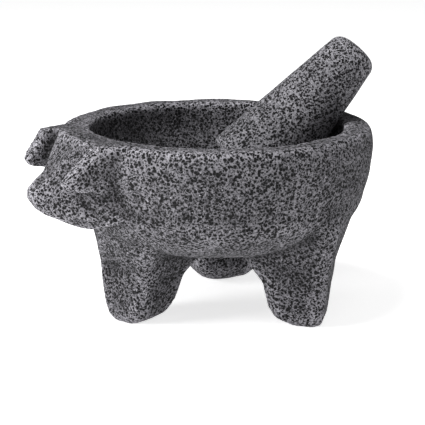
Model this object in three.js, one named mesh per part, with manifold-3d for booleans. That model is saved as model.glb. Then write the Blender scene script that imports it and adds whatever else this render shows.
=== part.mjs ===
// A pig-shaped molcajete: a three-legged mortar carved from one block of vesicular basalt, with the pig's
// head growing out of the rim, and a loose tapered stone pestle (tejolote) resting in the bowl.
// Millimetres, +Z up. The pig looks along -X, its left side is -Y, and the origin is on the floor, below
// the middle of the whole object's bounding box.

import * as THREE from 'three';
import { ConvexGeometry } from 'three/addons/geometries/ConvexGeometry.js';
import { mergeVertices } from 'three/addons/utils/BufferGeometryUtils.js';
import Module from 'manifold-3d';

// ---------------------------------------------------------------- driving dimensions
// Bowl. Radii are from the bowl's upright axis, heights from the floor.
const RIM_RADIUS = 102;        // outside of the rim
const RIM_HEIGHT = 127;        // flat top of the rim
const RIM_WALL = 18;           // wall thickness at the rim
const RIM_ROUNDING = 3;        // worn edges of the rim
const BAND_HEIGHT = 43;        // upright band below the rim, down to the shoulder
const BAND_BULGE = 1.8;        // how far the band swells past the rim
const SHOULDER_SETBACK = 4;    // how far the shoulder lies inside the rim
const BELLY_HEIGHT = 42;       // underside of the bowl above the floor
const BOWL_DEPTH = 64;         // rim top down to the bottom of the hollow
const BOWL_SEGMENTS = 72;

// Legs. A leg is a tapered square post, wider where it grows out of the belly.
const FRONT_LEG_RADIUS = 58;   // bowl axis to the middle of the front leg, at its ankle
const REAR_LEG_RADIUS = 64;    // the same for the two rear legs
const FRONT_LEG_LEAN = 9;      // how far the top of the front leg sits nearer the bowl axis
const REAR_LEG_LEAN = 3;
const LEG_SPACING = 120;       // degrees between legs
const LEG_TWIST = 20;          // degrees that each post is turned about its own axis
const ANKLE_WIDTH = 37;        // across the flats where the foot's bevel starts
const THIGH_WIDTH = 58;        // across the flats where the leg enters the bowl
const LEG_EDGE = 5;            // width of the worn corner of a post
const ANKLE_HEIGHT = 13;
const SOLE_BEVEL_HEIGHT = 5;
const PAD_WIDTH = 20;          // flat pad that touches the floor
const PAD_OUTSET = 6;          // the pad sits outward of the ankle's middle
const WEB_HEIGHT = 29;         // where a leg starts to flare inward into the belly
const WEB_REACH = 28;          // how far inward the flare has gone at the top of the leg

// Head, carved from the same block, so its sizes start from the rim: a reach is how far forward of the
// rim's outside a point lies, and a drop is how far below the rim's flat top.
const SNOUT_REACH = 31;        // tip of the snout
const SNOUT_HALF_WIDTH = 8;
const SNOUT_DROP = 26;         // top of the snout
const CHIN_DROP = 45;
const JAW_DROP = 55;
const BROW_REACH = 2;          // front edge of the flat top of the head
const STOP_REACH = 18;         // foot of the forehead, where the snout begins
const BROW_HALF_WIDTH = 29;
const CHEEK_HALF_WIDTH = 44;
const EAR_HALF_SPAN = 43;      // middle of the head to the outside of an ear
const EAR_THICKNESS = 13;
const EAR_TIP_REACH = 23;
// The carving is not quite symmetrical: how far forward each ear's top edge reaches, and how far down its
// underside hangs.
const LEFT_EAR = { side: -1, reach: 1, drop: 27 };
const RIGHT_EAR = { side: 1, reach: 7, drop: 23 };

// Pestle, a round cone with its heavy end in the bowl.
const PESTLE_LENGTH = 112;
const PESTLE_TOP_RADIUS = 17.5;
const PESTLE_BASE_RADIUS = 31.5;
const PESTLE_BASE_ROUNDING = 5;
const PESTLE_TOP_ROUNDING = 8;
const PESTLE_CROWN = 1.5;      // slight dome on both ends
const PESTLE_SLOPE = 47;       // degrees above level
const PESTLE_HEADING = -14.5;  // degrees from the tail, +X, seen from above
const PESTLE_SEGMENTS = 48;
const CONTACT_GAP = 0.3;       // space kept where the pestle touches the mortar

// ---------------------------------------------------------------- helpers
const radians = THREE.MathUtils.degToRad;
const wasm = await Module();
wasm.setup();

function toSolid(geometry) {
  const bare = geometry.index ? geometry.toNonIndexed() : geometry.clone();
  bare.deleteAttribute('normal');
  bare.deleteAttribute('uv');
  const merged = mergeVertices(bare, 1e-4);
  return new wasm.Manifold(new wasm.Mesh({
    numProp: 3,
    vertProperties: new Float32Array(merged.attributes.position.array),
    triVerts: new Uint32Array(merged.index.array),
  }));
}

function toGeometry(solid) {
  const mesh = solid.getMesh();
  const geometry = new THREE.BufferGeometry();
  geometry.setAttribute('position', new THREE.BufferAttribute(mesh.vertProperties, 3));
  geometry.setIndex(new THREE.BufferAttribute(mesh.triVerts, 1));
  geometry.computeVertexNormals();
  return geometry;
}

// Turns an outline of [radius, height] points, listed upward along the outside, about the Z axis.
function turned(outline, segments) {
  const points = outline.map(([radius, height]) => new THREE.Vector2(radius, height));
  return new THREE.LatheGeometry(points, segments).rotateX(Math.PI / 2);
}

function hull(points) {
  return toSolid(new ConvexGeometry(points.map(([x, y, z]) => new THREE.Vector3(x, y, z))));
}

// Points on a quarter ellipse from the angle start to the angle end, in degrees.
function arc(centre, radiusAcross, radiusUp, start, end, steps) {
  return Array.from({ length: steps + 1 }, (_, i) => {
    const angle = radians(start + (end - start) * i / steps);
    return [centre[0] + radiusAcross * Math.cos(angle), centre[1] + radiusUp * Math.sin(angle)];
  });
}

// ---------------------------------------------------------------- bowl
const shoulderHeight = RIM_HEIGHT - BAND_HEIGHT;
const shoulderRadius = RIM_RADIUS - SHOULDER_SETBACK;
const mouthRadius = RIM_RADIUS - RIM_WALL;
const hollowTop = RIM_HEIGHT - 2 * RIM_ROUNDING;
const hollowHeight = BOWL_DEPTH - 2 * RIM_ROUNDING;

function bowlBlank() {
  const belly = arc([0, shoulderHeight], shoulderRadius, shoulderHeight - BELLY_HEIGHT, -90, 0, 14);
  const band = new THREE.SplineCurve([
    new THREE.Vector2(shoulderRadius, shoulderHeight),
    new THREE.Vector2(RIM_RADIUS, shoulderHeight + 0.35 * BAND_HEIGHT),
    new THREE.Vector2(RIM_RADIUS + BAND_BULGE, shoulderHeight + 0.7 * BAND_HEIGHT),
    new THREE.Vector2(RIM_RADIUS, RIM_HEIGHT - RIM_ROUNDING),
  ]).getPoints(6).slice(1, -1).map((point) => [point.x, point.y]);
  const edgeCentre = [RIM_RADIUS - RIM_ROUNDING, RIM_HEIGHT - RIM_ROUNDING];
  const edge = arc(edgeCentre, RIM_ROUNDING, RIM_ROUNDING, 0, 90, 3);
  return toSolid(turned([...belly, ...band, ...edge, [0, RIM_HEIGHT]], BOWL_SEGMENTS));
}

// The hollow is half an ellipsoid below the mouth, and its tool reaches above the rim with a flared edge.
function bowlHollow() {
  const bowl = arc([0, hollowTop], mouthRadius, hollowHeight, -90, 0, 14);
  const lipCentre = [mouthRadius + RIM_ROUNDING, RIM_HEIGHT - RIM_ROUNDING];
  const lip = arc(lipCentre, RIM_ROUNDING, RIM_ROUNDING, 180, 90, 3);
  const over = RIM_HEIGHT + 10;
  return toSolid(turned([...bowl, ...lip, [lipCentre[0], over], [0, over]], BOWL_SEGMENTS));
}

// ---------------------------------------------------------------- legs
// Eight corners of a square section with worn edges, turned by angle degrees about its own middle.
function postSection(middle, height, width, edge, angle) {
  const half = width / 2;
  const cut = half - edge;
  const corners = [[half, cut], [cut, half], [-cut, half], [-half, cut],
    [-half, -cut], [-cut, -half], [cut, -half], [half, -cut]];
  const c = Math.cos(radians(angle));
  const s = Math.sin(radians(angle));
  return corners.map(([u, v]) => [middle[0] + u * c - v * s, middle[1] + u * s + v * c, height]);
}

function leg(heading, ankleRadius, lean) {
  const along = (distance) => [distance * Math.cos(radians(heading)), distance * Math.sin(radians(heading))];
  const turn = heading + LEG_TWIST;
  const soleWidth = (PAD_WIDTH + ANKLE_WIDTH) / 2 + 3;
  const hipHeight = shoulderHeight - 8;
  const section = (radius, height, width) => postSection(along(radius), height, width, LEG_EDGE, turn);

  // The plain post, sampled at any height above the ankle.
  const rise = (height) => (height - ANKLE_HEIGHT) / (hipHeight - ANKLE_HEIGHT);
  const widthAt = (height) => ANKLE_WIDTH + (THIGH_WIDTH - ANKLE_WIDTH) * rise(height);
  const radiusAt = (height) => ankleRadius - lean * rise(height);

  const post = hull([
    ...section(ankleRadius + PAD_OUTSET, 0, PAD_WIDTH),
    ...section(ankleRadius + PAD_OUTSET / 3, SOLE_BEVEL_HEIGHT, soleWidth),
    ...section(ankleRadius, ANKLE_HEIGHT, ANKLE_WIDTH),
    ...section(ankleRadius - lean, hipHeight, THIGH_WIDTH),
  ]);
  // The web starts inside the post and spreads only toward the bowl's axis.
  const web = hull([
    ...section(radiusAt(WEB_HEIGHT), WEB_HEIGHT, widthAt(WEB_HEIGHT) - 0.2),
    ...section(ankleRadius - lean, hipHeight, THIGH_WIDTH - 0.2),
    ...section(ankleRadius - lean - WEB_REACH, hipHeight, THIGH_WIDTH - 0.2),
  ]);
  return post.add(web);
}

function legs() {
  return [
    leg(180, FRONT_LEG_RADIUS, FRONT_LEG_LEAN),
    leg(180 - LEG_SPACING, REAR_LEG_RADIUS, REAR_LEG_LEAN),
    leg(180 + LEG_SPACING, REAR_LEG_RADIUS, REAR_LEG_LEAN),
  ];
}

// ---------------------------------------------------------------- head
const forward = (reach) => -(RIM_RADIUS + reach);
const below = (drop) => RIM_HEIGHT - drop;
const mirrored = (points) => points.flatMap(([x, y, z]) => [[x, y, z], [x, -y, z]]);
const headBack = forward(2 - RIM_WALL);    // the head's own stone starts inside the rim's wall

function cranium() {
  return hull(mirrored([
    [headBack, CHEEK_HALF_WIDTH, RIM_HEIGHT],
    [headBack, CHEEK_HALF_WIDTH, below(JAW_DROP - 6)],
    [forward(BROW_REACH), BROW_HALF_WIDTH / 2, RIM_HEIGHT],
    [forward(BROW_REACH - 4), BROW_HALF_WIDTH, RIM_HEIGHT],
    [forward(BROW_REACH - 6), CHEEK_HALF_WIDTH - 3, below(18)],
    [forward(STOP_REACH), SNOUT_HALF_WIDTH, below(SNOUT_DROP - 4)],
    [forward(STOP_REACH - 6), SNOUT_HALF_WIDTH + 14, below(SNOUT_DROP)],
    [forward(BROW_REACH + 3), CHEEK_HALF_WIDTH - 10, below(JAW_DROP - 22)],
    [forward(BROW_REACH - 2), 2 * SNOUT_HALF_WIDTH + 8, below(JAW_DROP + 1)],
    [forward(BROW_REACH - 8), CHEEK_HALF_WIDTH - 5, below(JAW_DROP - 4)],
  ]));
}

function snout() {
  return hull(mirrored([
    [forward(BROW_REACH), CHEEK_HALF_WIDTH - 12, below(SNOUT_DROP + 4)],
    [forward(STOP_REACH - 0.5), SNOUT_HALF_WIDTH + 1, below(SNOUT_DROP - 4)],
    [forward(STOP_REACH - 7), SNOUT_HALF_WIDTH + 14, below(SNOUT_DROP + 1)],
    [forward(SNOUT_REACH - 7), SNOUT_HALF_WIDTH - 1, below(SNOUT_DROP)],
    [forward(SNOUT_REACH), SNOUT_HALF_WIDTH - 2, below(SNOUT_DROP + 6)],
    [forward(SNOUT_REACH), SNOUT_HALF_WIDTH - 2, below(CHIN_DROP - 7)],
    [forward(SNOUT_REACH - 6), SNOUT_HALF_WIDTH, below(CHIN_DROP + 1)],
    [forward(BROW_REACH + 6), SNOUT_HALF_WIDTH + 7, below(JAW_DROP - 1)],
    [forward(BROW_REACH - 2), 2 * SNOUT_HALF_WIDTH + 8, below(JAW_DROP + 1)],
    [forward(BROW_REACH - 2), CHEEK_HALF_WIDTH - 9, below(JAW_DROP - 8)],
  ]));
}

// An ear is a thick wedge that grows forward out of the rim and droops. side is +1 for the pig's right.
function ear({ side, reach, drop }) {
  const outer = EAR_HALF_SPAN;
  const inner = outer - EAR_THICKNESS;
  return hull([
    [headBack, outer + 5, RIM_HEIGHT], [headBack, inner, RIM_HEIGHT],
    [forward(reach), outer, RIM_HEIGHT], [forward(reach), inner, RIM_HEIGHT],
    [forward(EAR_TIP_REACH - 1), outer - 7, below(drop - 5)],
    [forward(EAR_TIP_REACH - 1), inner - 3, below(drop - 4)],
    [forward(EAR_TIP_REACH - 4), outer - 8, below(drop)],
    [forward(EAR_TIP_REACH - 5), inner - 3, below(drop)],
    [headBack - 8, outer, below(drop + 4)], [headBack - 8, inner, below(drop + 4)],
  ].map(([x, y, z]) => [x, side * y, z]));
}

// ---------------------------------------------------------------- pestle
function pestleGeometry() {
  const base = arc([PESTLE_BASE_RADIUS - PESTLE_BASE_ROUNDING, PESTLE_BASE_ROUNDING],
    PESTLE_BASE_ROUNDING, PESTLE_BASE_ROUNDING, -90, 0, 4);
  const top = arc([PESTLE_TOP_RADIUS - PESTLE_TOP_ROUNDING, PESTLE_LENGTH - PESTLE_TOP_ROUNDING],
    PESTLE_TOP_ROUNDING, PESTLE_TOP_ROUNDING, 0, 90, 5);
  return turned([[0, -PESTLE_CROWN], ...base, ...top, [0, PESTLE_LENGTH + PESTLE_CROWN]], PESTLE_SEGMENTS);
}

// The pestle lies in an upright plane through the bowl's axis. In that plane its axis starts at the point
// (start.across, start.up). It is lowered until its lower edge meets the hollow, and moved sideways until
// its shaft meets the lip, each with the contact gap.
function pestleSeat() {
  const slope = radians(PESTLE_SLOPE);
  const axis = [Math.cos(slope), Math.sin(slope)];
  const under = [Math.sin(slope), -Math.cos(slope)];
  const lipCentre = [mouthRadius + RIM_ROUNDING, RIM_HEIGHT - RIM_ROUNDING];

  // Space between the lower edge, a ring of rounded section, and the ellipsoid of the hollow, which goes
  // on upward as a cylinder.
  const spaceBelow = (across, up) => {
    const ring = PESTLE_BASE_RADIUS - PESTLE_BASE_ROUNDING;
    let least = Infinity;
    for (let turn = 0; turn < 180; turn += 3) {
      const inPlane = ring * Math.cos(radians(turn));
      const x = across + PESTLE_BASE_ROUNDING * axis[0] + inPlane * under[0];
      const z = Math.min(up + PESTLE_BASE_ROUNDING * axis[1] + inPlane * under[1] - hollowTop, 0);
      const y = ring * Math.sin(radians(turn));
      const level = Math.hypot(Math.hypot(x, y) / mouthRadius, z / hollowHeight);
      const steepness = Math.hypot(x / mouthRadius ** 2, y / mouthRadius ** 2, z / hollowHeight ** 2);
      least = Math.min(least, (1 - level) * level / steepness - PESTLE_BASE_ROUNDING);
    }
    return least;
  };
  // Space between the cone and the rounded lip, measured in the plane.
  const spaceAtLip = (across, up) => {
    const to = [lipCentre[0] - across, lipCentre[1] - up];
    const along = to[0] * axis[0] + to[1] * axis[1];
    const off = to[0] * under[0] + to[1] * under[1];
    const taper = (PESTLE_BASE_RADIUS - PESTLE_TOP_RADIUS) / PESTLE_LENGTH;
    return (off - PESTLE_BASE_RADIUS + taper * along) * Math.cos(Math.atan(taper)) - RIM_ROUNDING;
  };
  const bisect = (low, high, space) => {
    for (let i = 0; i < 50; i++) {
      const middle = (low + high) / 2;
      if (space(middle) > CONTACT_GAP) high = middle;
      else low = middle;
    }
    return high;
  };
  const restingHeight = (across) => bisect(0, 3 * RIM_HEIGHT, (up) => spaceBelow(across, up));
  const inward = bisect(-mouthRadius, mouthRadius, (in_) => spaceAtLip(-in_, restingHeight(-in_)));
  return { across: -inward, up: restingHeight(-inward) };
}

// ---------------------------------------------------------------- assembly
const basalt = (color) => new THREE.MeshStandardMaterial({ color, roughness: 0.95, metalness: 0 });

function mortarGeometry() {
  const stone = [...legs(), cranium(), snout(), ear(LEFT_EAR), ear(RIGHT_EAR)]
    .reduce((solid, feature) => solid.add(feature), bowlBlank());
  return toGeometry(stone.subtract(bowlHollow()));
}

const mortar = new THREE.Mesh(mortarGeometry(), basalt(0x6a696d));
mortar.name = 'mortar';

const pestle = new THREE.Mesh(pestleGeometry(), basalt(0x727176));
pestle.name = 'pestle';
const seat = pestleSeat();
pestle.rotation.set(0, radians(90 - PESTLE_SLOPE), 0);
pestle.position.set(seat.across, 0, seat.up);

const pestleHeading = new THREE.Group();
pestleHeading.rotation.z = radians(PESTLE_HEADING);
pestleHeading.add(pestle);

const molcajete = new THREE.Group();
molcajete.add(mortar, pestleHeading);
molcajete.updateMatrixWorld(true);

// Moves everything so that the origin is below the middle of the bounding box, on the floor.
const box = new THREE.Box3().setFromObject(molcajete, true);
const middle = box.getCenter(new THREE.Vector3());
molcajete.position.set(-middle.x, -middle.y, -box.min.z);
molcajete.updateMatrixWorld(true);

export default molcajete;
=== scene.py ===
# %% [markdown]
# # A pig-shaped molcajete and its pestle
#
# A molcajete is a Mexican mortar. This one is carved from a single block of basalt, the grey stone that
# forms when lava full of gas bubbles goes hard: a round bowl on three legs, with a pig's head that grows
# out of the rim. The pestle, called a tejolote, is a second stone. The whole object is therefore two
# pieces, and this lesson makes each of them as a carver does. First comes a rough block with flat
# planes, then the hollow, then wear on every edge, and last the bubbles of the stone.
#
# The frame holds the model that was designed before. Its boxes say where each piece goes.

import math

import bmesh
import bpy
import numpy as np
from mathutils import Matrix, Vector, noise


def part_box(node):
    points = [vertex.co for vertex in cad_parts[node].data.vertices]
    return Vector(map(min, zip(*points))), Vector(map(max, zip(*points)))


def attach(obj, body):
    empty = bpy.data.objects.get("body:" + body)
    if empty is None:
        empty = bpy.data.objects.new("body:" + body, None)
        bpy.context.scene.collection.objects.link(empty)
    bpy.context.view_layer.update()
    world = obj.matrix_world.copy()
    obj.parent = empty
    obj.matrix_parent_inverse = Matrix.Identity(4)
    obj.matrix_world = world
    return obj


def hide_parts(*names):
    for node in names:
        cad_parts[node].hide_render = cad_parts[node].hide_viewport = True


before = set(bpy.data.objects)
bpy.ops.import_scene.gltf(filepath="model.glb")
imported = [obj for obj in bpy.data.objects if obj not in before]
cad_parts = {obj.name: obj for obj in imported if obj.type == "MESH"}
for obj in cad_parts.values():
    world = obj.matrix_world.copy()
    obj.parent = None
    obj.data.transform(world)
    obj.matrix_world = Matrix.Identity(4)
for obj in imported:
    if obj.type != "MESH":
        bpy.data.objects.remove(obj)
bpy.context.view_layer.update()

# %% [markdown]
# Carvers and their customers think in millimetres, and Blender thinks in metres. One short helper turns
# the first into the second, so that every size below can be checked with a ruler. The bowl's upright axis
# is the natural centre for all of them, and the frame gives its place: the band of the bowl is the
# furthest that the mortar reaches toward +X, the side away from the pig's head.

# %% Millimetres about the bowl's axis
RIM_RADIUS = 102
RIM_HEIGHT = 127
BAND_BULGE = 1.8


def mm(*lengths):
    return tuple(length / 1000 for length in lengths)


_, mortar_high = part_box("mortar")
bowl_axis = Vector((mortar_high[0] - mm(RIM_RADIUS + BAND_BULGE)[0], 0, 0))
print("bowl axis at x =", round(1000 * bowl_axis.x, 2), "mm")

# %% [markdown]
# The first draft of any carving is turned or split. A round body is an outline spun about its axis. A
# split face is flat, and a form with only flat, outward faces is the convex hull of its corners: it is
# enough to say where the corners are, and Blender stretches the faces between them. Both helpers add
# their form to the same bmesh, because the head, the legs and the bowl are one stone.

# %% Helpers that block out a form
SPIN_STEPS = 96
SAME_POINT = 1e-6


def turn(bm, outline):
    """Spins an outline of (radius, height), which starts and ends on the axis, about Z."""
    verts = [bm.verts.new(mm(radius, 0, height)) for radius, height in outline]
    edges = [bm.edges.new(pair) for pair in zip(verts, verts[1:])]
    bmesh.ops.spin(bm, geom=verts + edges, cent=(0, 0, 0), axis=(0, 0, 1),
                   angle=math.tau, steps=SPIN_STEPS, use_merge=True)
    bmesh.ops.remove_doubles(bm, verts=bm.verts, dist=SAME_POINT)


def split(bm, corners):
    """Adds the convex hull of a few corners."""
    verts = [bm.verts.new(mm(*corner)) for corner in corners]
    hull = bmesh.ops.convex_hull(bm, input=verts)
    bmesh.ops.delete(bm, geom=hull["geom_interior"], context="VERTS")


def arc(centre, across, up, start, end, steps):
    """Points on an ellipse, from the angle start to the angle end in degrees."""
    angles = [math.radians(start + (end - start) * i / steps) for i in range(steps + 1)]
    return [(centre[0] + across * math.cos(a), centre[1] + up * math.sin(a)) for a in angles]


def finished_object(bm, name):
    bmesh.ops.recalc_face_normals(bm, faces=bm.faces)
    mesh = bpy.data.meshes.new(name)
    bm.to_mesh(mesh)
    bm.free()
    made = bpy.data.objects.new(name, mesh)
    bpy.context.scene.collection.objects.link(made)
    return made


print("a full turn takes", SPIN_STEPS, "steps of", math.degrees(math.tau / SPIN_STEPS), "degrees")

# %% [markdown]
# The bowl starts as a solid drum. Its belly is a quarter of an ellipse from the middle of the underside
# out to the shoulder. Above the shoulder stands a band that swells a little past the rim, and the rim is
# flat with worn edges. The hollow is a second turned form, a tool that will be taken away from the block
# later, so it reaches above the rim and has a flared edge that leaves the lip rounded.

# %% The drum of the bowl and the tool for its hollow
RIM_WALL = 18
RIM_ROUNDING = 3
SHOULDER = (98, 84)
BELLY_HEIGHT = 42
BOWL_DEPTH = 64
TOOL_OVERREACH = 10
CURVE_STEPS = 20
ROUNDING_STEPS = 3

mouth = RIM_RADIUS - RIM_WALL
rounding_height = RIM_HEIGHT - RIM_ROUNDING
band = [(100.3, 91), (102, 99), (103.2, 106), (RIM_RADIUS + BAND_BULGE, 114), (103.2, 120)]
drum = [
    *arc((0, SHOULDER[1]), SHOULDER[0], SHOULDER[1] - BELLY_HEIGHT, -90, 0, CURVE_STEPS),
    *band,
    *arc((RIM_RADIUS - RIM_ROUNDING, rounding_height), RIM_ROUNDING, RIM_ROUNDING, 0, 90, ROUNDING_STEPS),
    (0, RIM_HEIGHT),
]
hollow_top = RIM_HEIGHT - 2 * RIM_ROUNDING
hollow_depth = BOWL_DEPTH - 2 * RIM_ROUNDING
hollow_tool = [
    *arc((0, hollow_top), mouth, hollow_depth, -90, 0, CURVE_STEPS),
    *arc((mouth + RIM_ROUNDING, rounding_height), RIM_ROUNDING, RIM_ROUNDING, 180, 90, ROUNDING_STEPS),
    (mouth + RIM_ROUNDING, RIM_HEIGHT + TOOL_OVERREACH), (0, RIM_HEIGHT + TOOL_OVERREACH),
]

block = bmesh.new()
turn(block, drum)
print("drum:", len(block.faces), "faces")

# %% [markdown]
# The three legs are tapered square posts. Each one stands on a small flat pad, swells quickly to an ankle
# and then slowly to the thigh, and is turned a little about its own axis, so that an edge of the front
# leg faces forward. A section is one level of such a post: a square with its corners worn off, at a
# heading and a distance from the bowl's axis.

# %% One level of a leg
LEG_EDGE = 5
LEG_TWIST = 20


def section(heading, radius, height, width, edge=LEG_EDGE):
    """Eight corners of a square section with worn corners, on a leg that stands at this heading."""
    half = width / 2
    cut = half - edge
    corners = [(half, cut), (cut, half), (-cut, half), (-half, cut),
               (-half, -cut), (-cut, -half), (cut, -half), (half, -cut)]
    turned = Matrix.Rotation(math.radians(heading + LEG_TWIST), 2)
    middle = Matrix.Rotation(math.radians(heading), 2) @ Vector((radius, 0))
    return [(*(middle + turned @ Vector(corner)), height) for corner in corners]


print("a section has", len(section(0, 60, 0, 30)), "corners")

# %% [markdown]
# Each leg is three hulls. The post goes from the pad to the hip. The web spreads inward from it to the
# middle of the belly, where the carver could not reach with a straight chisel. The haunch spreads outward
# and up, so that the thigh runs into the side of the bowl with no ledge between them, and its two headings
# say how far round the bowl it goes. The web's sides lie a hair inside the post's, so that no two faces
# share a plane, which would spoil the joining later. The foot on the pig's right rear was left the
# heaviest.

# %% The three legs
PAD_WIDTH = 20
PAD_EDGE = 4
PAD_OUTSET = 6
SOLE_HEIGHT = 5
SOLE_OUTSET = 2
ANKLE_HEIGHT = 13
ANKLE_WIDTH = 37
THIGH_WIDTH = 58
HIP_HEIGHT = SHOULDER[1] - 8
WEB_HEIGHT = 29
WEB_REACH = 28
CALF_HEIGHT = 40
FLANK_HEIGHT = 66
HAUNCH_HEIGHT = 86
HAUNCH_OUTSIDE = 97.5
HAUNCH_INSIDE = 60


def haunch_top(radius, headings, steps):
    return [(x, y, HAUNCH_HEIGHT) for x, y in arc((0, 0), radius, radius, *headings, steps)]


def leg(bm, heading, ankle_radius, lean, haunch, ankle=ANKLE_WIDTH):
    """haunch is the first and last heading where the leg runs up into the side of the bowl."""
    hip = ankle_radius - lean
    split(bm, [
        *section(heading, ankle_radius + PAD_OUTSET, 0, PAD_WIDTH, PAD_EDGE),
        *section(heading, ankle_radius + SOLE_OUTSET, SOLE_HEIGHT, 0.4 * ankle + 16.7),
        *section(heading, ankle_radius, ANKLE_HEIGHT, ankle),
        *section(heading, hip, HIP_HEIGHT, THIGH_WIDTH),
    ])
    split(bm, [
        *section(heading, ankle_radius - 0.25 * lean, WEB_HEIGHT, ANKLE_WIDTH + 5),
        *section(heading, hip, HIP_HEIGHT, THIGH_WIDTH - 0.2),
        *section(heading, hip - WEB_REACH, HIP_HEIGHT, THIGH_WIDTH - 0.2),
    ])
    split(bm, [
        *section(heading, ankle_radius - 0.4 * lean, CALF_HEIGHT, ANKLE_WIDTH + 8.8),
        *section(heading, hip + 2, FLANK_HEIGHT, THIGH_WIDTH - 1),
        *haunch_top(HAUNCH_OUTSIDE, haunch, 8),
        *haunch_top(HAUNCH_INSIDE, haunch, 2),
    ])


leg(block, 180, 58, 9, haunch=(191, 222))
leg(block, -60, 64, 3, haunch=(-77, -17))
leg(block, 60, 64, 3, haunch=(17, 77), ankle=47)
print("drum and legs:", len(block.faces), "faces")

# %% [markdown]
# The pig's head is cut from the same block, flush with the rim. The skull is a wedge with a flat top that
# falls away to the cheeks. The snout is a smaller wedge in front of it, and each ear is a thick flap that
# grows forward out of the rim and droops. The pig looks along -X. The carving is not quite even: the ear
# on its right reaches further and hangs less than the one on its left.

# %% The head
HEAD_BACK = RIM_RADIUS - RIM_WALL + 2

skull = [
    (-HEAD_BACK, 44, RIM_HEIGHT), (-HEAD_BACK, 47, 79), (-104, 14.5, RIM_HEIGHT),
    (-100, 29, RIM_HEIGHT), (-98, 41, RIM_HEIGHT - 18), (-120, 8, 105),
    (-114, 22, 101), (-107, 34, 94), (-102, 24, 71), (-94, 42, 77),
]
snout = [
    (-104, 32, 97), (-119.5, 9, 105), (-113, 22, 100), (-126, 7, 101), (-133, 6, 95),
    (-133, 6, 89), (-127, 8, 81), (-110, 15, 73), (-102, 24, 71), (-102, 35, 80),
]


def both_sides(corners):
    return [(x, side * y, z) for x, y, z in corners for side in (1, -1)]


def ear(bm, side, reach, drop):
    """side is 1 for the pig's right and -1 for its left. The ear hangs this drop below the rim."""
    under = RIM_HEIGHT - drop
    split(bm, [(-x, side * y, z) for x, y, z in (
        (HEAD_BACK, 48, RIM_HEIGHT), (HEAD_BACK, 30, RIM_HEIGHT),
        (reach, 43, RIM_HEIGHT), (reach, 30, RIM_HEIGHT),
        (124, 36, under + 5), (124, 27, under + 4),
        (121, 35, under), (120, 27, under),
        (HEAD_BACK + 8, 43, under - 4), (HEAD_BACK + 8, 30, under - 4),
    )])


split(block, both_sides(skull))
split(block, both_sides(snout))
ear(block, side=-1, reach=103, drop=27)
ear(block, side=1, reach=109, drop=23)
rough_mortar = finished_object(block, "rough_mortar")
print("rough mortar:", len(rough_mortar.data.polygons), "faces")

# %% [markdown]
# The block is still a heap of overlapping forms, and stone has no inside walls. A Boolean modifier that
# counts self-overlaps joins them and takes the hollow away in one step. A voxel remesh then lays an even
# skin of small faces over the result, which is what wear and pits need. A few rounds of smoothing
# round the edges and fill the creases, as years of handling do. More rounds would melt the planes of the
# head, which make it look carved.

# %% Join, hollow and wear
WEAR_ROUNDS = 3


def worn(piece, voxel, tool=None):
    """Turns the rough piece into one even skin with soft edges and returns its mesh."""
    if tool:
        cut = piece.modifiers.new("hollow", "BOOLEAN")
        cut.operation = "DIFFERENCE"
        cut.solver = "EXACT"
        cut.use_self = True
        cut.object = tool
    skin = piece.modifiers.new("skin", "REMESH")
    skin.mode = "VOXEL"
    skin.voxel_size = mm(voxel)[0]
    wear = piece.modifiers.new("wear", "SMOOTH")
    wear.factor = 0.5
    wear.iterations = WEAR_ROUNDS
    shown = piece.evaluated_get(bpy.context.evaluated_depsgraph_get())
    return bpy.data.meshes.new_from_object(shown)


tool_bm = bmesh.new()
turn(tool_bm, hollow_tool)
tool = finished_object(tool_bm, "hollow_tool")
mortar_mesh = worn(rough_mortar, voxel=1.68, tool=tool)
bpy.data.objects.remove(rough_mortar)
bpy.data.objects.remove(tool)
print("mortar skin:", 2 * len(mortar_mesh.polygons), "triangles")

# %% [markdown]
# The pestle is a blunt cone with a heavy, almost flat end for grinding and a rounder end for the hand. It
# is turned upright and then tilted, so that its heavy end can stand in the hollow and its shaft lean on
# the lip.

# %% The pestle, turned and tilted
PESTLE_LENGTH = 112
BASE_RADIUS = 31.5
BASE_ROUNDING = 5
GRIP_RADIUS = 17.5
GRIP_ROUNDING = 8
END_CROWN = 1.5
PESTLE_SLOPE = 47
PESTLE_HEADING = -14.5

base_corner = (BASE_RADIUS - BASE_ROUNDING, BASE_ROUNDING)
grip_corner = (GRIP_RADIUS - GRIP_ROUNDING, PESTLE_LENGTH - GRIP_ROUNDING)
pestle_bm = bmesh.new()
turn(pestle_bm, [
    (0, -END_CROWN),
    *arc(base_corner, BASE_ROUNDING, BASE_ROUNDING, -90, 0, 5),
    *arc(grip_corner, GRIP_ROUNDING, GRIP_ROUNDING, 0, 90, 6),
    (0, PESTLE_LENGTH + END_CROWN),
])
lean_over = Matrix.Rotation(math.radians(90 - PESTLE_SLOPE), 3, "Y")
tilt = Matrix.Rotation(math.radians(PESTLE_HEADING), 3, "Z") @ lean_over
bmesh.ops.transform(pestle_bm, matrix=tilt.to_4x4(), verts=pestle_bm.verts)
print("pestle outline:", len(pestle_bm.verts), "points")

# %% [markdown]
# The tilted stone is moved until its box has the same middle as the box that the frame gives for it, so
# it rests exactly where the design puts it. Its skin is finer than the mortar's, because it is smaller.

# %% The pestle, moved into the bowl
pestle_low, pestle_high = (Vector(corner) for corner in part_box("pestle"))
low = Vector(min(v.co[i] for v in pestle_bm.verts) for i in range(3))
high = Vector(max(v.co[i] for v in pestle_bm.verts) for i in range(3))
shift = (pestle_low + pestle_high - low - high) / 2
bmesh.ops.translate(pestle_bm, verts=pestle_bm.verts, vec=shift)
rough_pestle = finished_object(pestle_bm, "rough_pestle")
pestle_mesh = worn(rough_pestle, voxel=0.95)
bpy.data.objects.remove(rough_pestle)
box_difference = [round(1000 * d, 2) for d in high - low - pestle_high + pestle_low]
print("pestle skin:", 2 * len(pestle_mesh.polygons), "triangles")
print("pestle box differs from the design by", box_difference, "mm")
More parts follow.
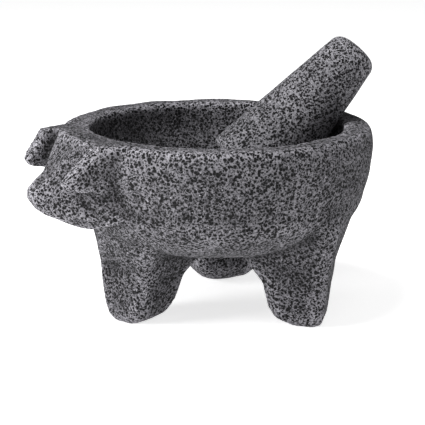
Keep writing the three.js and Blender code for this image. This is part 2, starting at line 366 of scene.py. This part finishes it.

# %% [markdown]
# Handling leaves its mark: edges that stand proud are rubbed pale. Creases get painted shade, colour
# darkened where shade falls. To find both, the skin is compared with a copy of itself in which every point
# has been moved to the middle of its neighbours, over and over, until the edges have melted. Where the
# skin stands above that copy it is an edge, and where it lies below, a crease. The result is stored on the
# mesh for the finish to read.

# %% Rubbed edges and painted shade in creases
WEAR_AND_SHADE_REACH = 12
WEAR_AND_SHADE_STRENGTH = 600
WEAR_AND_SHADE_SPREAD = 3


def edge_wear_and_crease_shade(mesh):
    """Stores 0 in a crease, 0.5 on an even face and 1 on an edge."""
    count = len(mesh.vertices)
    points = np.empty(3 * count)
    mesh.vertices.foreach_get("co", points)
    points = points.reshape(count, 3)
    normals = np.array([vertex.normal for vertex in mesh.vertices])
    pairs = np.array([edge.vertices for edge in mesh.edges])
    neighbours = np.bincount(pairs.ravel(), minlength=count)

    def averaged(values):
        total = np.zeros_like(values)
        np.add.at(total, pairs[:, 0], values[pairs[:, 1]])
        np.add.at(total, pairs[:, 1], values[pairs[:, 0]])
        return (total.T / neighbours).T

    smooth = points
    for _ in range(WEAR_AND_SHADE_REACH):
        smooth = averaged(smooth)
    height = ((points - smooth) * normals).sum(axis=1)
    for _ in range(WEAR_AND_SHADE_SPREAD):
        height = averaged(height)
    value = np.clip(0.5 + WEAR_AND_SHADE_STRENGTH * height, 0, 1)
    # Above 0.5 marks edge wear, and below 0.5 marks creases for painted shade.
    mesh.attributes.new("edge_wear_and_crease_shade", "FLOAT", "POINT").data.foreach_set("value", value)


edge_wear_and_crease_shade(mortar_mesh)
edge_wear_and_crease_shade(pestle_mesh)
print("edges looked for on", len(mortar_mesh.vertices), "points of the mortar")

# %% [markdown]
# Nothing carved by hand is quite flat, and this stone is full of burst bubbles. Each point of the skin is
# moved along its normal. Two octaves of smooth noise give the slight waves of the chisel. Cell noise gives
# the pits: it splits space into cells, each with one centre, and a point near a centre sinks. How wide a
# pit is depends on its cell, and many cells have none. Inside a pit the depth is stored on the mesh as an
# attribute too, so that the finish can paint shade there.

# %% Chisel waves and burst bubbles
LONG_WAVE = 26
SHORT_WAVE = 9
SHORT_WAVE_SHARE = 0.4
CELL_SHUFFLE = 7.3
SOLID_CELLS = 0.2


def weather(mesh, wave, cell, widest, deepest):
    """Moves the skin in and out. cell and widest are a pit's spacing and radius in mm."""
    depths = mesh.attributes.new("pit", "FLOAT", "POINT")
    normals = [vertex.normal.copy() for vertex in mesh.vertices]
    for vertex, normal in zip(mesh.vertices, normals):
        at = 1000 * vertex.co
        waves = noise.noise(at / LONG_WAVE) + SHORT_WAVE_SHARE * noise.noise(at / SHORT_WAVE)
        distances, centres = noise.voronoi(at / cell)
        chance = noise.cell(centres[0] * CELL_SHUFFLE)
        radius = widest * (0.35 + 0.65 * chance)
        pit_and_shade = max(0.0, 1 - (distances[0] * cell / radius) ** 2) if chance > SOLID_CELLS else 0.0
        # The pit's depth is stored so that the finish can paint shade in it.
        depths.data[vertex.index].value = pit_and_shade
        vertex.co += normal * mm(wave * waves - deepest * pit_and_shade * (0.5 + 0.5 * chance))[0]
        vertex.co.z = max(vertex.co.z, 0.0)


mortar_mesh.transform(Matrix.Translation(bowl_axis))
weather(mortar_mesh, wave=0.7, cell=6.5, widest=2.6, deepest=1.5)
weather(pestle_mesh, wave=0.25, cell=4.6, widest=1.5, deepest=0.8)
print("weathered", len(mortar_mesh.vertices) + len(pestle_mesh.vertices), "points")

# %% [markdown]
# Basalt is a mid grey with a touch of violet, freckled with pale mineral grains, and every bubble is a
# hole, which the finish fills with near-black painted shade. A finish is a tree of nodes, and a tree built
# in code is long unless the steps that repeat are helpers. These four join two sockets, add a node, mix
# two colours and do one sum.

# %% Helpers for a tree of nodes
def link(tree, source, target):
    tree.links.new(source, target)


def add(tree, kind, **settings):
    made = tree.nodes.new(kind)
    for name, value in settings.items():
        setattr(made, name, value)
    return made


def mixed(tree, factor, first, second):
    """Mixes two colours, each either a tuple or a socket."""
    made = add(tree, "ShaderNodeMix", data_type="RGBA")
    link(tree, factor, made.inputs["Factor"])
    for socket, colour in ((made.inputs[6], first), (made.inputs[7], second)):
        if isinstance(colour, tuple):
            socket.default_value = (*colour, 1)
        else:
            link(tree, colour, socket)
    return made.outputs[2]


def combined(tree, operation, first, second):
    made = add(tree, "ShaderNodeMath", operation=operation)
    for socket, value in zip(made.inputs, (first, second)):
        if isinstance(value, (int, float)):
            socket.default_value = value
        else:
            link(tree, value, socket)
    return made.outputs[0]


print("helpers ready: link, add, mixed, combined")

# %% [markdown]
# Two patterns make the stone. Bubbles come from cells: a point is inside a bubble if it is nearer to its
# cell's centre than a radius that the cell's own random colour gives. A smallest radius below nothing
# leaves some cells without a bubble. Grain and mottle come from smooth noise, which is stretched so that
# it uses the whole range from 0 to 1.

# %% Helpers for bubbles and clouds
def cells(tree, vector, spacing, smallest, largest, softness):
    """A mask of round pits, 1 inside. Sizes are shares of the spacing, which is in mm."""
    pattern = add(tree, "ShaderNodeTexVoronoi")
    pattern.inputs["Scale"].default_value = 1000 / spacing
    link(tree, vector, pattern.inputs["Vector"])
    chances = add(tree, "ShaderNodeSeparateColor")
    link(tree, pattern.outputs["Color"], chances.inputs["Color"])
    radius = add(tree, "ShaderNodeMapRange")
    radius.inputs["To Min"].default_value = smallest
    radius.inputs["To Max"].default_value = largest
    link(tree, chances.outputs["Red"], radius.inputs["Value"])
    inside = combined(tree, "SUBTRACT", radius.outputs["Result"], pattern.outputs["Distance"])
    mask = add(tree, "ShaderNodeMapRange", interpolation_type="SMOOTHSTEP")
    mask.inputs["From Min"].default_value = -softness
    mask.inputs["From Max"].default_value = softness
    link(tree, inside, mask.inputs["Value"])
    return mask.outputs["Result"]


def smooth_noise(tree, vector, size, detail):
    """A noise node with features of this size in mm."""
    pattern = add(tree, "ShaderNodeTexNoise")
    pattern.inputs["Scale"].default_value = 1000 / size
    pattern.inputs["Detail"].default_value = detail
    link(tree, vector, pattern.inputs["Vector"])
    return pattern


def clouds(tree, vector, size, detail, low, high):
    """Smooth noise, spread over 0 to 1 between two levels."""
    spread = add(tree, "ShaderNodeMapRange")
    spread.inputs["From Min"].default_value = low
    spread.inputs["From Max"].default_value = high
    link(tree, smooth_noise(tree, vector, size, detail).outputs["Fac"], spread.inputs["Value"])
    return spread.outputs["Result"]


print("helpers ready: cells, smooth_noise, clouds")

# %% [markdown]
# The bubbles come in three sizes from cells, and a fourth set is the pits that are already in the mesh.
# A little noise is added to the place that the cells read, so that no bubble is a perfect circle.
# Everything reads Object coordinates, so the pattern sits still in the stone and carries through its
# thickness.

# %% The bubbles of the stone
BEND_SIZE = 2.6
BEND_DEPTH = 0.0013
SMALL_PIT_SHARE = 0.85
CARVED_PIT_SHARE = 0.5


def bent_place(tree, place):
    bend = smooth_noise(tree, place, BEND_SIZE, 2)
    bent = add(tree, "ShaderNodeVectorMath", operation="MULTIPLY_ADD")
    link(tree, bend.outputs["Color"], bent.inputs[0])
    bent.inputs[1].default_value = (BEND_DEPTH, BEND_DEPTH, BEND_DEPTH)
    link(tree, place, bent.inputs[2])
    return bent.outputs[0]


def bubbles(tree, vector, large, middle, small):
    """large, middle and small are (spacing in mm, smallest, largest) of three sizes of bubble."""
    large_pits = cells(tree, vector, *large, 0.04)
    middle_pits = cells(tree, vector, *middle, 0.07)
    small_pits = cells(tree, vector, *small, 0.1)
    stored = add(tree, "ShaderNodeAttribute", attribute_name="pit")
    pits = combined(tree, "MAXIMUM", large_pits, middle_pits)
    shallow = combined(tree, "MULTIPLY", small_pits, SMALL_PIT_SHARE)
    pits = combined(tree, "MAXIMUM", pits, shallow)
    carved = combined(tree, "MULTIPLY", stored.outputs["Fac"], CARVED_PIT_SHARE)
    return combined(tree, "MAXIMUM", pits, carved)


print("cells are bent by up to", 1000 * BEND_DEPTH, "mm")

# %% [markdown]
# The stone between the bubbles has a slow mottle over the whole block, fine grain, and pale freckles.
# Handling is laid over that from the value stored on the mesh: its edges are mixed toward a paler stone.
# Its creases are mixed toward the near-black of the pits as painted shade. The bubbles go on last, painted
# near-black as the shade inside a hole, the darkest thing there is.

# %% The colour of the stone
MOTTLE_SHARE = 0.35
GRAIN_SHARE = 0.65
FRECKLE_SHARE = 0.6
EDGE_SHARE = 0.4
CREASE_SHADE_SHARE = 0.75
PALER = 2.2


def wear_and_shade_share(tree, slope, offset):
    """Turns the stored edge wear and crease shade into a share from 0 to 1, on one side of an even face.
    """
    wear_and_shade = add(tree, "ShaderNodeAttribute", attribute_name="edge_wear_and_crease_shade")
    share = combined(tree, "MULTIPLY_ADD", wear_and_shade.outputs["Fac"], slope)
    share.node.inputs[2].default_value = offset
    share.node.use_clamp = True
    return share


def stone_colour(tree, place, vector, grain, pits, light, dark, pit_and_shade):
    mottle = clouds(tree, place, 30, 3, 0.35, 0.65)
    slow = combined(tree, "MULTIPLY", mottle, MOTTLE_SHARE)
    fine = combined(tree, "MULTIPLY", grain, GRAIN_SHARE)
    stone = mixed(tree, combined(tree, "ADD", slow, fine), dark, light)
    pale = tuple(min(1, PALER * value) for value in light)
    freckles = combined(tree, "MULTIPLY", cells(tree, vector, 2.3, -0.12, 0.2, 0.06), FRECKLE_SHARE)
    stone = mixed(tree, freckles, stone, pale)
    edge = combined(tree, "MULTIPLY", wear_and_shade_share(tree, 2.0, -1.0), EDGE_SHARE)
    stone = mixed(tree, edge, stone, pale)
    # Painted shade: creases are darkened toward the near-black of the pits, where shade falls.
    crease_shade = combined(tree, "MULTIPLY", wear_and_shade_share(tree, -2.0, 1.0), CREASE_SHADE_SHARE)
    stone = mixed(tree, crease_shade, stone, pit_and_shade)
    # Painted shade: the pits are coloured near-black, the shade inside a hole.
    return mixed(tree, pits, stone, pit_and_shade)


print("an edge is mixed", EDGE_SHARE, "toward a stone", PALER, "times as light")

# %% [markdown]
# The same bubbles drive the bump and a painted shade in the colour together, which is what makes them
# look like holes. The surface itself is dull, with one roughness all over. The pestle is cut from a
# lighter and finer stone than the mortar, so it is a second mix from the same recipe.

# %% The finish of both stones
GRAIN_BUMP = 0.3
BUMP_DEPTH = 1.3
# The near-black of the painted shade inside pits and creases.
PIT_SHADE = (0.004, 0.004, 0.0045)


def basalt(name, light, dark, large, middle, small):
    material = bpy.data.materials.new(name)
    material.use_nodes = True
    tree = material.node_tree
    tree.nodes.clear()
    place = add(tree, "ShaderNodeTexCoord").outputs["Object"]
    vector = bent_place(tree, place)
    pits = bubbles(tree, vector, large, middle, small)
    grain = clouds(tree, place, 1.1, 4, 0.3, 0.7)

    height = combined(tree, "SUBTRACT", combined(tree, "MULTIPLY", grain, GRAIN_BUMP), pits)
    bump = add(tree, "ShaderNodeBump")
    bump.inputs["Strength"].default_value = 1.0
    bump.inputs["Distance"].default_value = mm(BUMP_DEPTH)[0]
    link(tree, height, bump.inputs["Height"])

    surface = add(tree, "ShaderNodeBsdfPrincipled")
    surface.inputs["Roughness"].default_value = 0.92
    surface.inputs["Specular IOR Level"].default_value = 0.25
    stone = stone_colour(tree, place, vector, grain, pits, light, dark, PIT_SHADE)
    link(tree, stone, surface.inputs["Base Color"])
    link(tree, bump.outputs["Normal"], surface.inputs["Normal"])
    output = add(tree, "ShaderNodeOutputMaterial")
    link(tree, surface.outputs[0], output.inputs["Surface"])
    return material


mortar_basalt = basalt("mortar_basalt", light=(0.225, 0.219, 0.238), dark=(0.03, 0.029, 0.033),
                       large=(6.5, -0.35, 0.25), middle=(1.9, 0.27, 0.56), small=(1.0, 0.2, 0.56))
pestle_basalt = basalt("pestle_basalt", light=(0.27, 0.264, 0.284), dark=(0.045, 0.044, 0.049),
                       large=(4.6, -0.35, 0.25), middle=(1.7, 0.24, 0.58), small=(1.2, 0.05, 0.5))
print("finishes:", mortar_basalt.name, pestle_basalt.name)

# %% [markdown]
# Each finished mesh becomes a piece at the origin, with its place in its mesh, and is shaded smooth. It
# stands for the plain designed node of the same name and rides on the same body. The pestle can then be
# lifted out of the bowl by its joint.

# %% Tie the pieces to the frame
def piece(name, mesh, material, node, body, slot):
    mesh.materials.clear()
    mesh.materials.append(material)
    mesh.shade_smooth()
    made = bpy.data.objects.new(name, mesh)
    bpy.context.scene.collection.objects.link(made)
    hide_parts(node)
    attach(made, body)
    return made


mortar = piece("carved_mortar", mortar_mesh, mortar_basalt, "mortar", "mortar", "mortar_basalt")
pestle = piece("carved_pestle", pestle_mesh, pestle_basalt, "pestle", "pestle", "pestle_basalt")
print("pieces:", mortar.name, pestle.name)

# %% [markdown]
# The stone stands in a plain studio. The floor is one large pale sheet that belongs to the stage, not to
# the object. It glows a little, so that it stays pale to its far edge and takes only a soft shadow.

# %% The floor
FLOOR_HALF_SIDE = 8
FLOOR_GLOW = 0.7

floor_bm = bmesh.new()
bmesh.ops.create_grid(floor_bm, x_segments=1, y_segments=1, size=FLOOR_HALF_SIDE)
floor = finished_object(floor_bm, "studio_floor")
pale_floor = bpy.data.materials.new("pale_floor")
pale_floor.use_nodes = True
paper = pale_floor.node_tree.nodes["Principled BSDF"]
paper.inputs["Base Color"].default_value = (0.93, 0.93, 0.93, 1)
paper.inputs["Roughness"].default_value = 0.9
paper.inputs["Emission Color"].default_value = (1, 1, 1, 1)
paper.inputs["Emission Strength"].default_value = FLOOR_GLOW
floor.data.materials.append(pale_floor)
print("floor:", 2 * FLOOR_HALF_SIDE, "m across")

# %% [markdown]
# Three round, soft lamps light the stone. The one above lights the rim and the top of the head, the one
# to the left picks out the front leg, and a weak one in front lifts the band. A bright, even surround
# keeps the shadows open.

# %% The light
MIDDLE = (0, 0, 0.08)
SURROUND_STRENGTH = 0.22


def lamp(name, place, size, power):
    """A disk of light that faces the middle of the stone. Sizes are in metres and watts."""
    data = bpy.data.lights.new(name, "AREA")
    data.shape = "DISK"
    data.size = size
    data.energy = power
    made = bpy.data.objects.new(name, data)
    made.location = place
    made.rotation_euler = (Vector(MIDDLE) - Vector(place)).to_track_quat("-Z", "Y").to_euler()
    bpy.context.scene.collection.objects.link(made)


lamp("lamp_above", (-0.55, -0.05, 1.25), size=0.7, power=21)
lamp("lamp_left", (-1.35, 0.25, 0.4), size=0.6, power=17)
lamp("lamp_front", (-0.15, -0.9, 1.3), size=0.9, power=3)
surround = bpy.data.worlds.new("surround")
surround.use_nodes = True
sky = surround.node_tree.nodes["Background"]
sky.inputs["Color"].default_value = (1, 1, 1, 1)
sky.inputs["Strength"].default_value = SURROUND_STRENGTH
bpy.context.scene.world = surround

# %% [markdown]
# The camera stands a little above the rim and to the pig's left, with a long lens, which keeps the bowl
# round and the legs upright. Plain colour handling shows the greys as they were mixed.

# %% The camera
CAMERA_LENS = 109.7
CAMERA_PLACE = (-0.3846, -0.7505, 0.2797)
CAMERA_AIM = (0.4523, 0.8577, -0.2445)

camera = bpy.data.objects.new("camera", bpy.data.cameras.new("camera"))
camera.data.lens = CAMERA_LENS
camera.location = CAMERA_PLACE
camera.rotation_euler = Vector(CAMERA_AIM).to_track_quat("-Z", "Y").to_euler()
bpy.context.scene.collection.objects.link(camera)
bpy.context.scene.camera = camera
bpy.context.scene.view_settings.view_transform = "Standard"
print("camera is", round((camera.location - Vector(MIDDLE)).length, 2), "m from the stone")
